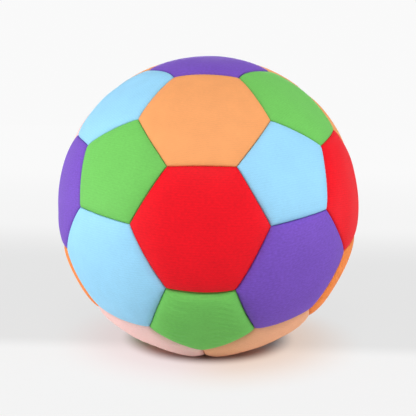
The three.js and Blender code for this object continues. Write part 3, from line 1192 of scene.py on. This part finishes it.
@dataclass
class Valve:
    """The valve: reinforcing ring, moulded housing and soft core, all round one axis.

    Heights come from the frame, and radii are the moulding's own sizes. Ring and flange are dished:
    they fall away from the stem as the cover does.
    """

    ball: Ball
    place: Place
    stem: float = 6.0 * MM
    chamfer: float = 0.5 * MM
    flange: float = 12.0 * MM
    flange_thickness: float = 1.6 * MM
    tube: float = 5.0 * MM
    ring: float = 13.5 * MM
    ring_thickness: float = 1.0 * MM
    funnel: float = 2.5 * MM
    funnel_depth: float = 1.5 * MM
    needle_hole: float = 1.1 * MM
    core_bore: float = 3.3 * MM
    core_passage: float = 0.45 * MM
    core_edge: float = 0.7 * MM
    lip: float = 2.2 * MM
    lip_thickness: float = 1.2 * MM
    clearance: float = 0.3 * MM
    bevel: float = 0.2 * MM
    bevel_steps: int = 3
    bevel_from: float = math.radians(25)
    segments: int = 96

    def heights(self, node: str) -> tuple[float, float]:
        """Lowest and highest point of a CAD node along the valve's axis, from the ball's middle."""
        height = self.place.local(node, self.ball)[:, 2]
        return float(height.min()), float(height.max())

    def dish(self, radius: float, depth: float) -> float:
        """Height of a dished face, which falls away outwards as steeply as the CAD ring does.

        Args:
            radius: the distance from the valve's axis.
            depth: how far the face lies under the cover's inner face.

        Returns:
            Its height there.
        """
        low, high = self.heights("valve_ring")
        bore = self.stem + self.clearance
        slope = (high - low - self.ring_thickness) / (self.ring - bore)
        return high + self.clearance - depth - slope * (radius - bore)

    def ring_profile(self) -> list[tuple[float, float]]:
        """The ring's section, anticlockwise.

        Returns:
            The radius and height of each corner.
        """
        bore = self.stem + self.clearance
        top, under = self.clearance, self.clearance + self.ring_thickness
        return [(bore, self.dish(bore, under)), (self.ring, self.dish(self.ring, under)),
                (self.ring, self.dish(self.ring, top)), (bore, self.dish(bore, top))]

    def housing_profile(self) -> list[tuple[float, float]]:
        """The housing's section, from its lip out, up and back down its bore.

        Returns:
            The radius and height of each corner.
        """
        low, high = self.heights("valve_housing")
        core_top = self.heights("valve_core")[1]
        upper = 2 * self.clearance + self.ring_thickness
        lower = upper + self.flange_thickness
        return [
            (self.lip, low),
            (self.tube, low),
            (self.tube, self.dish(self.tube, lower)),
            (self.flange, self.dish(self.flange, lower)),
            (self.flange, self.dish(self.flange, upper)),
            (self.stem, self.dish(self.stem, upper)),
            (self.stem, high - self.chamfer),
            (self.stem - self.chamfer, high),
            (self.funnel, high),
            (self.needle_hole, high - self.funnel_depth),
            (self.needle_hole, core_top + self.clearance),
            (self.core_bore, core_top + self.clearance),
            (self.core_bore, low + self.lip_thickness),
            (self.lip, low + self.lip_thickness),
        ]

    def core_profile(self) -> list[tuple[float, float]]:
        """The core's section, with its edges cut off.

        Returns:
            The radius and height of each corner.
        """
        low, high = self.heights("valve_core")
        outer = self.core_bore - self.clearance
        edge = self.core_edge
        return [(self.core_passage, low), (outer - edge, low), (outer, low + edge),
                (outer, high - edge), (outer - edge, high), (self.core_passage, high)]

    def revolve(self, name: str, profile: list[tuple[float, float]]) -> bpy.types.Object:
        """A ring-shaped piece from a section, with its edges softened.

        Each point of the section is carried round the axis as radius times cosine and sine.

        Args:
            name: the object's name.
            profile: the radius and height of the section's corners.

        Returns:
            The piece's object.
        """
        angle = np.arange(self.segments) * 2 * math.pi / self.segments
        grid = np.stack([cone(angle, radius, height) for radius, height in profile])
        numbers = np.arange(len(profile) * self.segments).reshape(len(profile), -1)
        closed = np.concatenate([numbers, numbers[:1]])
        world = grid.reshape(-1, 3) @ self.place.turn.T + self.ball.middle
        obj = make_object(name, world, [loop_strip(closed)[:, ::-1]])
        soften = obj.modifiers.new("soften", "BEVEL")
        soften.width = self.bevel
        soften.segments = self.bevel_steps
        soften.limit_method = "ANGLE"
        soften.angle_limit = self.bevel_from
        return obj

    def build(self) -> None:
        """Makes and dresses the three pieces."""
        black = rubber_material(VALVE_RUBBER)
        amber = rubber_material(CORE_RUBBER)
        for node, profile, material in (
            ("valve_ring", self.ring_profile(), black),
            ("valve_housing", self.housing_profile(), black),
            ("valve_core", self.core_profile(), amber),
        ):
            finish_piece(self.revolve(node + "_moulded", profile), node, material)


# Finishes

@dataclass(frozen=True)
class KnitFinish:
    """A fine jersey knit on foam: its colour and gloss, and the pitch and depth of its stitches."""

    slot: Knit
    colour: tuple[float, float, float]
    roughness: float = 0.6
    specular: float = 0.12
    wale: float = 1.0 * MM
    course: float = 1.5 * MM
    relief: float = 0.08 * MM
    relief_strength: float = 0.6
    mottle: float = 0.30


KNIT_FINISHES = (
    KnitFinish(Knit.RED, (0.86, 0.0062, 0.0165), mottle=0.30),
    KnitFinish(Knit.ORANGE, (0.97, 0.28, 0.062), mottle=0.16),
    KnitFinish(Knit.PEACH, (0.93, 0.385, 0.142), mottle=0.10),
    KnitFinish(Knit.GREEN, (0.172, 0.57, 0.115), mottle=0.22),
    KnitFinish(Knit.LIGHT_BLUE, (0.335, 0.695, 0.96), mottle=0.13),
    KnitFinish(Knit.PURPLE, (0.193, 0.086, 0.53), mottle=0.48),
    KnitFinish(Knit.PINK, (1.0, 0.66, 0.63), mottle=0.18),
)


@dataclass(frozen=True)
class KnitPattern:
    """The knit's form and shading, alike in all colours. Scales are noise cells per metre.

    A V's legs lean by leg_lean courses per wale. The shades are shares of the knit's colour: even
    cloth has shade_level, and the others are added to it by cloud, bump and row. The bump's share is
    painted light and shade on the stitches, and seam_shade is painted shade near the seams.
    """

    leg_lean: float = 1.4
    row_height: float = 0.3
    leg_height: float = 0.7
    fuzz_scale: float = 1400.0
    fuzz_height: float = 0.5
    cloud_scale: float = 90.0
    slub_scale: float = 850.0
    slub_stretch: tuple[float, float, float] = (0.6, 1.0, 1.0)
    shade_level: float = 0.92
    shade_cloud: float = 0.12
    shade_bump: float = 0.07
    shade_row: float = 0.025
    seam_shade: float = 0.15
    seam_reach: float = 0.9 * MM


@dataclass(frozen=True)
class RubberFinish:
    """Smooth moulded rubber with a faint bloom and a fine grain."""

    name: str
    colour: tuple[float, float, float]
    bloom_scale: float = 240.0
    bloom_gain: float = 1.8
    bloom_lift: float = 0.01
    roughness: float = 0.42
    roughness_spread: float = 0.25
    grain_scale: float = 3000.0
    grain_depth: float = 0.02 * MM


VALVE_RUBBER = RubberFinish("valve_rubber", (0.016, 0.016, 0.018))
CORE_RUBBER = RubberFinish("core_rubber", (0.25, 0.145, 0.055))
BLADDER_RUBBER = RubberFinish("bladder_rubber", (0.02, 0.02, 0.022))


@dataclass(frozen=True)
class ThreadFinish:
    """Dark waxed thread with a slight change of tone."""

    dark: tuple[float, float, float] = (0.05, 0.045, 0.06)
    pale: tuple[float, float, float] = (0.12, 0.11, 0.14)
    tone_scale: float = 900.0
    roughness: float = 0.45
    roughness_spread: float = 0.3


class Nodes:
    """A short way to add and link shader nodes."""

    def __init__(self, tree: bpy.types.NodeTree) -> None:
        """Works on one node tree."""
        self.tree = tree

    def add(self, kind: str, **values: object) -> bpy.types.Node:
        """A new node with some of its properties set.

        Args:
            kind: the node's type.
            values: its properties.

        Returns:
            The node.
        """
        node = self.tree.nodes.new(kind)
        for name, value in values.items():
            setattr(node, name, value)
        return node

    def feed(self, target: bpy.types.NodeSocket, source: object) -> None:
        """Links a socket into another one, or sets a plain value on it.

        Args:
            target: the input socket.
            source: an output socket or a value.
        """
        if isinstance(source, bpy.types.NodeSocket):
            self.tree.links.new(source, target)
        else:
            target.default_value = source

    def math(self, operation: str, *sources: object) -> bpy.types.NodeSocket:
        """The result of a Math node.

        Args:
            operation: what it does.
            sources: its sockets or values, in order.

        Returns:
            The result.
        """
        node = self.add("ShaderNodeMath", operation=operation)
        for socket, source in zip(node.inputs, sources):
            self.feed(socket, source)
        return node.outputs[0]

    def noise(self, vector: bpy.types.NodeSocket, scale: float, detail: float) -> bpy.types.NodeSocket:
        """The value of a Noise Texture.

        Args:
            vector: the place that it reads.
            scale: its cells per metre.
            detail: its octaves.

        Returns:
            The value, about 0.5.
        """
        node = self.add("ShaderNodeTexNoise")
        self.feed(node.inputs["Vector"], vector)
        node.inputs["Scale"].default_value = scale
        node.inputs["Detail"].default_value = detail
        return node.outputs["Fac"]

    def ramp(self, value: object, start: float, end: float, gain: float) -> bpy.types.NodeSocket:
        """A smooth step of a value.

        Args:
            value: the value.
            start: where the step starts from 0.
            end: where it ends.
            gain: its height.

        Returns:
            The step.
        """
        node = self.add("ShaderNodeMapRange", interpolation_type="SMOOTHSTEP")
        self.feed(node.inputs["Value"], value)
        node.inputs["From Min"].default_value = start
        node.inputs["From Max"].default_value = end
        node.inputs["To Max"].default_value = gain
        return node.outputs["Result"]

    def seen(self) -> bpy.types.NodeSocket:
        """Tells the rays that see a surface from those that light it.

        Returns:
            1 for rays from the camera and for mirrored and transmitted ones, 0 for the others.
        """
        path = self.add("ShaderNodeLightPath")
        mirrored = self.math("MAXIMUM", path.outputs["Is Glossy Ray"],
                             path.outputs["Is Transmission Ray"])
        return self.math("MAXIMUM", path.outputs["Is Camera Ray"], mirrored)

    def mix(self, factor: object, first: object, second: object) -> bpy.types.NodeSocket:
        """Two colours mixed, by the inputs and the output that a Mix node has for colours.

        Args:
            factor: the share of the second.
            first: a colour's socket or its three values.
            second: another one.

        Returns:
            The mixed colour.
        """
        node = self.add("ShaderNodeMix", data_type="RGBA")
        for number, source in ((0, factor), (6, first), (7, second)):
            self.feed(node.inputs[number], (*source, 1.0) if isinstance(source, tuple) else source)
        return node.outputs[2]

    def place(self) -> bpy.types.NodeSocket:
        """The place on the object, in metres."""
        return self.add("ShaderNodeTexCoord").outputs["Object"]

    def attribute(self, name: str) -> bpy.types.NodeSocket:
        """The value of one of the mesh's attributes."""
        return self.add("ShaderNodeAttribute", attribute_name=name).outputs["Fac"]

    def split(self, vector: bpy.types.NodeSocket) -> bpy.types.bpy_prop_collection:
        """The sockets X, Y and Z of a vector.

        Args:
            vector: the vector.

        Returns:
            The outputs, by name.
        """
        node = self.add("ShaderNodeSeparateXYZ")
        self.feed(node.inputs[0], vector)
        return node.outputs

    def bump(self, height: bpy.types.NodeSocket, depth: float,
             strength: float = 1.0) -> bpy.types.NodeSocket:
        """The normal of a Bump node.

        Args:
            height: the height's socket.
            depth: the height that 1 stands for.
            strength: how strongly it shows.

        Returns:
            The normal.
        """
        node = self.add("ShaderNodeBump")
        node.inputs["Distance"].default_value = depth
        node.inputs["Strength"].default_value = strength
        self.feed(node.inputs["Height"], height)
        return node.outputs["Normal"]


def new_material(name: str) -> tuple[bpy.types.Material, Nodes, bpy.types.Node]:
    """A new material.

    Args:
        name: its name.

    Returns:
        The material, its nodes and its Principled shader.
    """
    material = bpy.data.materials.new(name)
    material.use_nodes = True
    tree = material.node_tree
    return material, Nodes(tree), tree.nodes["Principled BSDF"]


def knit_group() -> bpy.types.NodeTree:
    """The knit: rows of V-shaped stitches, slubs along the wales and mottling, with painted shade in
    the stitches' hollows and along the seams, and painted light mixed in as white on some panels.

    In units of one wale, d is the distance from the wale's middle. Each leg of a V is a bump across
    the wale, and its rows are a cosine along the wale whose phase slides with d.

    Returns:
        The node group, which puts out the shaded colour and the height.
    """
    form = KnitPattern()
    tree = bpy.data.node_groups.new("fine_knit", "ShaderNodeTree")
    face = tree.interface
    face.new_socket("Colour", in_out="INPUT", socket_type="NodeSocketColor")
    for name, value in (("Wale", KnitFinish.wale), ("Course", KnitFinish.course),
                        ("Mottle", KnitFinish.mottle), ("Seam reach", form.seam_reach)):
        face.new_socket(name, in_out="INPUT", socket_type="NodeSocketFloat").default_value = value
    face.new_socket("Colour", in_out="OUTPUT", socket_type="NodeSocketColor")
    face.new_socket("Height", in_out="OUTPUT", socket_type="NodeSocketFloat")
    nodes = Nodes(tree)
    given = nodes.add("NodeGroupInput")
    result = nodes.add("NodeGroupOutput")

    place = nodes.add("ShaderNodeUVMap", uv_map="knit")
    flat = nodes.split(place.outputs["UV"])
    wale = nodes.math("DIVIDE", flat["X"], given.outputs["Wale"])
    side = nodes.math("ABSOLUTE", nodes.math("SUBTRACT", nodes.math("FRACT", wale), 0.5))
    leg = nodes.math("ABSOLUTE", nodes.math("SINE", nodes.math("MULTIPLY", wale, 2 * math.pi)))
    row = nodes.math("DIVIDE", flat["Y"], given.outputs["Course"])
    slide = nodes.math("ADD", row, nodes.math("MULTIPLY", side, form.leg_lean))
    ripple = nodes.math("COSINE", nodes.math("MULTIPLY", slide, 2 * math.pi))
    along = nodes.math("MULTIPLY_ADD", ripple, form.row_height, form.leg_height)
    bump = nodes.math("MULTIPLY", leg, along)

    spot = nodes.place()
    fuzz = nodes.noise(spot, form.fuzz_scale, 2.0)
    cloud = nodes.noise(spot, form.cloud_scale, 3.0)
    height = nodes.math("MULTIPLY_ADD", fuzz, form.fuzz_height, bump)
    nodes.feed(result.inputs["Height"], height)

    # painted shade: the knit darkens towards the seams, within about the seam reach
    edge = nodes.math("DIVIDE", nodes.attribute("inset"), given.outputs["Seam reach"])
    seam = nodes.math("EXPONENT", nodes.math("MULTIPLY", edge, -1.0))
    dark = nodes.math("MULTIPLY", seam, form.seam_shade)
    drawn = nodes.add("ShaderNodeVectorMath", operation="MULTIPLY")
    nodes.feed(drawn.inputs[0], place.outputs["UV"])
    drawn.inputs[1].default_value = form.slub_stretch
    streak = nodes.noise(drawn.outputs["Vector"], form.slub_scale, 2.0)
    slub = nodes.math("SUBTRACT", streak, 0.5)
    shade = nodes.math("MULTIPLY_ADD", cloud, form.shade_cloud, form.shade_level)
    # painted light and shade on the stitches: lighter on the legs, darker in the hollows
    shade = nodes.math("MULTIPLY_ADD", bump, form.shade_bump, shade)
    shade = nodes.math("MULTIPLY_ADD", ripple, form.shade_row, shade)
    shade = nodes.math("MULTIPLY_ADD", slub, given.outputs["Mottle"], shade)
    shade = nodes.math("MULTIPLY", shade, nodes.math("SUBTRACT", 1.0, dark))
    # painted light: the attribute pale mixes in white, so a listed panel looks more brightly lit
    colour_with_painted_light = nodes.mix(nodes.attribute("pale"), given.outputs["Colour"], (1.0, 1.0, 1.0))
    tint = nodes.add("ShaderNodeVectorMath", operation="SCALE")
    nodes.feed(tint.inputs[0], colour_with_painted_light)
    nodes.feed(tint.inputs["Scale"], shade)
    nodes.feed(result.inputs["Colour"], tint.outputs["Vector"])
    return tree


def knit_material(finish: KnitFinish, group: bpy.types.NodeTree) -> bpy.types.Material:
    """The material of one knit colour.

    Args:
        finish: the colour's finish.
        group: the knit's node group.

    Returns:
        The material.
    """
    material, nodes, shader = new_material(finish.slot.value)
    knit = nodes.add("ShaderNodeGroup", node_tree=group)
    knit.inputs["Colour"].default_value = (*finish.colour, 1.0)
    knit.inputs["Wale"].default_value = finish.wale
    knit.inputs["Course"].default_value = finish.course
    knit.inputs["Mottle"].default_value = finish.mottle
    relief = nodes.bump(knit.outputs["Height"], finish.relief, finish.relief_strength)
    nodes.feed(shader.inputs["Base Color"], knit.outputs["Colour"])
    nodes.feed(shader.inputs["Normal"], relief)
    shader.inputs["Roughness"].default_value = finish.roughness
    shader.inputs["Specular IOR Level"].default_value = finish.specular
    return material


def rubber_material(finish: RubberFinish) -> bpy.types.Material:
    """The material of one rubber, whose bloom makes it paler and rougher in clouds.

    Args:
        finish: the rubber's finish.

    Returns:
        The material.
    """
    material, nodes, shader = new_material(finish.name)
    spot = nodes.place()
    bloom = nodes.noise(spot, finish.bloom_scale, 4.0)
    pale = tuple(min(1.0, value * finish.bloom_gain + finish.bloom_lift) for value in finish.colour)
    rough = nodes.math("MULTIPLY_ADD", bloom, finish.roughness_spread, finish.roughness)
    grain = nodes.noise(spot, finish.grain_scale, 2.0)
    nodes.feed(shader.inputs["Base Color"], nodes.mix(bloom, finish.colour, pale))
    nodes.feed(shader.inputs["Roughness"], rough)
    nodes.feed(shader.inputs["Normal"], nodes.bump(grain, finish.grain_depth))
    return material


def thread_material() -> bpy.types.Material:
    """The thread's material, whose tone and roughness change together.

    Returns:
        The material.
    """
    finish = ThreadFinish()
    material, nodes, shader = new_material("thread")
    tone = nodes.noise(nodes.place(), finish.tone_scale, 2.0)
    rough = nodes.math("MULTIPLY_ADD", tone, finish.roughness_spread, finish.roughness)
    nodes.feed(shader.inputs["Base Color"], nodes.mix(tone, finish.dark, finish.pale))
    nodes.feed(shader.inputs["Roughness"], rough)
    return material


# Studio

@dataclass(frozen=True)
class Lamp:
    """A square soft light that faces the ball."""

    name: str
    place: tuple[float, float, float]
    size: float
    power: float


LAMPS = (
    Lamp("key", (0.0, -1.5, 1.8), 0.8, 35.6),
    Lamp("top", (0.0, -0.7, 2.1), 1.2, 5.0),
    Lamp("right_high", (1.3, -0.7, 1.8), 1.2, 0.8),
    Lamp("left_back", (-1.6, 1.0, 0.8), 1.6, 1.2),
    Lamp("right_back", (1.6, 1.0, 0.8), 1.6, 0.6),
    Lamp("back", (0.0, 1.8, 0.4), 0.8, 11.0),
    Lamp("left_card", (-0.5, -0.15, 0.03), 0.35, 2.2),
    Lamp("right_card", (0.5, -0.15, 0.03), 0.35, 1.5),
)


@dataclass
class Studio:
    """Floor, lights and camera.

    Each band of the floor, and each ring of its glow, is a smooth step: where it starts, where it
    ends and its height. Reaches are distances from the middle of the shadow.
    """

    ball: Ball
    azimuth: float = math.radians(2.38)
    elevation: float = math.radians(7.31)
    roll: float = math.radians(0.73)
    distance: float = 539 * MM
    focal_pixels: float = 736.0
    sensor: float = 36.0
    nearest: float = 10 * MM
    middle_above: float = 1.6
    floor_half: float = 8.0
    world_light: float = 0.03
    backdrop: float = 0.95
    floor_colour: tuple[float, float, float] = (0.82, 0.81, 0.80)
    floor_roughness: float = 0.8
    # painted shadow: the floor's own colour near the contact, darker and brownish
    painted_contact_shadow: tuple[float, float, float] = (0.60, 0.40, 0.34)
    contact_reach: tuple[float, float] = (0.045, 0.095)
    foreground: float = 0.91
    floor_bands: tuple[tuple[float, float, float], ...] = (
        (-0.014, 0.020, -0.125), (0.30, 0.62, 0.125), (0.50, 1.80, 0.045))
    glow_middle: tuple[float, float, float] = (0.0, 0.03, 0.0)
    glow_rings: tuple[tuple[float, float, float], ...] = ((0.050, 0.070, 0.93), (0.070, 0.42, 0.07))
    # painted bounce light and shade in the floor's glow beside the ball, left and right
    left_painted_bounce: tuple[float, float, float] = (1.0, 0.86, 0.86)
    right_painted_bounce: tuple[float, float, float] = (0.96, 0.77, 0.66)
    tint_reach: tuple[float, float] = (0.060, 0.125)
    tint_blend: float = 0.03

    def camera(self) -> None:
        """Sets up the camera at the photograph's angle, as seen from the ball's middle."""
        lens = bpy.data.cameras.new("camera")
        lens.sensor_width = self.sensor
        lens.lens = self.focal_pixels / IMAGE_WIDTH * lens.sensor_width
        lens.shift_y = -self.middle_above / IMAGE_WIDTH
        lens.clip_start = self.nearest
        camera = bpy.data.objects.new("camera", lens)
        flat = math.cos(self.elevation)
        back = np.array([math.sin(self.azimuth) * flat, -math.cos(self.azimuth) * flat,
                         math.sin(self.elevation)])
        level = unit(np.cross(UP, back))
        upright = np.cross(back, level)
        right = math.cos(self.roll) * level + math.sin(self.roll) * upright
        columns = np.eye(4)
        columns[:3, 0] = right
        columns[:3, 1] = np.cross(back, right)
        columns[:3, 2] = back
        columns[:3, 3] = self.ball.middle + back * self.distance
        camera.matrix_world = Matrix(columns.tolist())
        bpy.context.scene.collection.objects.link(camera)
        bpy.context.scene.camera = camera

    def floor_level(self, nodes: Nodes, spot: bpy.types.NodeSocket) -> bpy.types.NodeSocket:
        """How bright the camera sees the floor: pale in front, a shade darker behind, then paler.

        It is the sum of the foreground's level and three smooth steps along Y.

        Args:
            nodes: the material's nodes.
            spot: the place on the floor.

        Returns:
            The level.
        """
        along = nodes.split(spot)["Y"]
        level = self.foreground
        for start, end, gain in self.floor_bands:
            level = nodes.math("ADD", nodes.ramp(along, start, end, gain), level)
        return level

    def painted_floor_bounce(self, nodes: Nodes, spot: bpy.types.NodeSocket,
                   away: bpy.types.NodeSocket) -> bpy.types.NodeSocket:
        """The floor's glowing colour: beside the ball it holds painted bounce light and shade from the
        panels above it.

        Args:
            nodes: the material's nodes.
            spot: the place on the floor.
            away: its distance from the middle of the shadow.

        Returns:
            The colour.
        """
        rightward = nodes.ramp(nodes.split(spot)["X"], -self.tint_blend, self.tint_blend, 1.0)
        side = nodes.mix(rightward, self.left_painted_bounce, self.right_painted_bounce)
        near, far = self.tint_reach
        return nodes.mix(nodes.ramp(away, near, far, 1.0), side, (1.0, 1.0, 1.0))

    def floor(self) -> None:
        """A wide white floor, which the camera sees evenly lit except for the shadow at the ball.

        The lit surface shows near the contact, where its own colour is darker and brownish as a painted
        shadow. Further away, and for camera, glossy and transmission rays alone, a plain glow at the
        floor's level takes its place by degrees; beside the ball the glow holds painted bounce light
        and shade.
        """
        half = self.floor_half
        corners = np.array([[-half, -half, 0.0], [half, -half, 0.0], [half, half, 0.0],
                            [-half, half, 0.0]])
        plane = make_object("floor", corners, [np.array([[0, 1, 2, 3]])])
        material, nodes, shader = new_material("floor")
        shader.inputs["Roughness"].default_value = self.floor_roughness
        shader.inputs["Specular IOR Level"].default_value = 0.0
        spot = nodes.place()
        glow = nodes.add("ShaderNodeEmission")
        nodes.feed(glow.inputs["Strength"], self.floor_level(nodes, spot))
        distance = nodes.add("ShaderNodeVectorMath", operation="DISTANCE")
        nodes.feed(distance.inputs[0], spot)
        distance.inputs[1].default_value = self.glow_middle
        away = distance.outputs["Value"]
        # painted bounce light and shade: the glow's colour beside the ball
        nodes.feed(glow.inputs["Color"], self.painted_floor_bounce(nodes, spot, away))
        # painted shadow: near the contact the floor's own colour is darker and brownish
        open_floor = nodes.ramp(away, *self.contact_reach, 1.0)
        nodes.feed(shader.inputs["Base Color"],
                   nodes.mix(open_floor, self.painted_contact_shadow, self.floor_colour))
        share = 0.0
        for start, end, gain in self.glow_rings:
            share = nodes.math("ADD", nodes.ramp(away, start, end, gain), share)
        blend = nodes.add("ShaderNodeMixShader")
        nodes.feed(blend.inputs[0], nodes.math("MULTIPLY", share, nodes.seen()))
        nodes.feed(blend.inputs[1], shader.outputs["BSDF"])
        nodes.feed(blend.inputs[2], glow.outputs["Emission"])
        output = material.node_tree.nodes["Material Output"]
        nodes.feed(output.inputs["Surface"], blend.outputs["Shader"])
        plane.data.materials.append(material)

    def world(self) -> None:
        """Faint even light all round, with a brighter white where the camera sees it."""
        world = bpy.data.worlds.new("world")
        bpy.context.scene.world = world
        world.use_nodes = True
        nodes = Nodes(world.node_tree)
        background = world.node_tree.nodes["Background"]
        background.inputs["Color"].default_value = (1.0, 1.0, 1.0, 1.0)
        gain = self.backdrop - self.world_light
        nodes.feed(background.inputs["Strength"],
                   nodes.math("MULTIPLY_ADD", nodes.seen(), gain, self.world_light))

    def light(self, lamp: Lamp) -> None:
        """Sets up one lamp.

        Args:
            lamp: the lamp.
        """
        light = bpy.data.lights.new(lamp.name, "AREA")
        light.size = lamp.size
        light.energy = lamp.power
        stand = bpy.data.objects.new(lamp.name, light)
        stand.location = lamp.place
        aim = Vector(self.ball.middle.tolist()) - Vector(lamp.place)
        stand.rotation_euler = aim.to_track_quat("-Z", "Y").to_euler()
        bpy.context.scene.collection.objects.link(stand)

    def build(self) -> None:
        """Sets up the whole studio."""
        self.camera()
        self.floor()
        self.world()
        for lamp in LAMPS:
            self.light(lamp)
        bpy.context.scene.view_settings.view_transform = "Standard"


def main() -> None:
    """Builds the ball and its studio."""
    logging.basicConfig(level=logging.INFO, format="%(name)s: %(message)s")
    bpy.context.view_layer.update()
    ball = Ball.from_frame()
    pattern = SewingPattern(ball)
    drift = SewingDrift()
    Studio(ball).build()
    Cover(ball, pattern, drift).build()
    thread = SeamThread(ball, pattern, drift).build()
    finish_piece(thread, "seam_thread", thread_material())
    bladder = Bladder(ball, pattern, drift).build()
    finish_piece(bladder, "bladder", rubber_material(BLADDER_RUBBER))
    Valve(ball, pattern.find(VALVE_NODE)).build()


if __name__ == "__main__":
    main()
